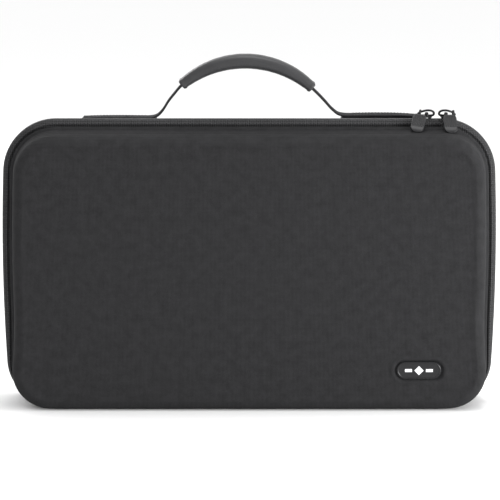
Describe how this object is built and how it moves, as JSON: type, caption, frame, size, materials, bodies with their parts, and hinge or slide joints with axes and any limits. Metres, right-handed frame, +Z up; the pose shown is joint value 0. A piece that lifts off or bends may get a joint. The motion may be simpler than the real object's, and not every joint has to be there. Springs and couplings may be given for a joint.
{
  "type": "miniature carry case",
  "caption": "Zipped hard clamshell case with a webbing handle and a divided foam tray for tabletop miniatures.",
  "frame": {"origin": "on the floor under the middle of the closed case, which stands on its hinge edge", "axes": "+X to the right along the hinge, +Y to the back shell, +Z up through the handle"},
  "size_m": [0.4998, 0.09, 0.3528],
  "materials": {
    "shell_fabric": "matte",
    "lining_fabric": "matte",
    "zip_tape": "matte",
    "zip_teeth": "satin",
    "webbing": "matte",
    "foam": "matte",
    "handle_rubber": "satin",
    "tab_rubber": "satin",
    "dark_metal": "satin",
    "badge_plastic": "satin",
    "emblem_print": "satin"
  },
  "bodies": {
    "base": {"back_shell": "shell_fabric", "back_lining": "lining_fabric", "back_zip_tape": "zip_tape", "back_zip_coil": "zip_teeth", "back_binding": "lining_fabric", "back_spine": "zip_tape", "zip_stop_left": "dark_metal", "zip_stop_right": "dark_metal", "base_pad": "foam", "tray_frame": "foam", "tray_rail_lower": "foam", "tray_rail_upper": "foam", "large_divider_1": "foam", "large_divider_2": "foam", "large_divider_3": "foam", "middle_divider_1": "foam", "middle_divider_2": "foam", "middle_divider_3": "foam", "middle_divider_4": "foam", "middle_divider_5": "foam", "middle_divider_6": "foam", "middle_divider_7": "foam", "upper_divider_1": "foam", "upper_divider_2": "foam", "upper_divider_3": "foam", "upper_divider_4": "foam", "upper_divider_5": "foam", "upper_divider_6": "foam", "upper_divider_7": "foam", "anchor_left": "handle_rubber", "anchor_right": "handle_rubber", "strap_root_left": "webbing", "strap_root_right": "webbing"},
    "lid": {"front_shell": "shell_fabric", "front_lining": "lining_fabric", "front_zip_tape": "zip_tape", "front_zip_coil": "zip_teeth", "front_binding": "lining_fabric", "front_spine": "zip_tape", "badge": "badge_plastic", "badge_emblem": "emblem_print", "lid_pad": "foam"},
    "left_slider": {"left_slider_body": "dark_metal"},
    "left_loop": {"left_wire_loop": "dark_metal"},
    "left_tab": {"left_pull_tab": "tab_rubber"},
    "right_slider": {"right_slider_body": "dark_metal"},
    "right_loop": {"right_wire_loop": "dark_metal"},
    "right_tab": {"right_pull_tab": "tab_rubber"},
    "handle": {"handle_strap": "webbing", "handle_grip": "handle_rubber"}
  },
  "joints": [
    {"name": "lid_hinge", "type": "hinge", "parent": "base", "child": "lid", "pos_m": [0, 0, -0.00025], "axis": [1, 0, 0], "range_deg": [0, 180]},
    {"name": "handle_fold", "type": "hinge", "parent": "base", "child": "handle", "pos_m": [0, 0.018, 0.2985], "axis": [1, 0, 0], "range_deg": [-90, 60], "stiffness_Nm_per_rad": 0.3},
    {"name": "left_slider_travel", "type": "slide", "parent": "lid", "child": "left_slider", "axis": [-1, 0, 0], "range_m": [0, 0.35]},
    {"name": "left_loop_hinge", "type": "hinge", "parent": "left_slider", "child": "left_loop", "pos_m": [0.1782, 0, 0.294], "axis": [1, 0, 0], "range_deg": [-80, 0]},
    {"name": "left_tab_hinge", "type": "hinge", "parent": "left_loop", "child": "left_tab", "pos_m": [0.1713, -0.00332, 0.29732], "axis": [1, 0, 0], "range_deg": [-60, 0]},
    {"name": "right_slider_travel", "type": "hinge", "parent": "lid", "child": "right_slider", "pos_m": [0.19419, 0, 0.237], "axis": [0, 1, 0], "range_deg": [0, 80]},
    {"name": "right_loop_hinge", "type": "hinge", "parent": "right_slider", "child": "right_loop", "pos_m": [0.19757, 0, 0.2939], "axis": [0.9982, 0, -0.0593], "range_deg": [-80, 0]},
    {"name": "right_tab_hinge", "type": "hinge", "parent": "right_loop", "child": "right_tab", "pos_m": [0.20466, -0.00332, 0.29681], "axis": [0.9982, 0, -0.0593], "range_deg": [-60, 0]}
  ]
}
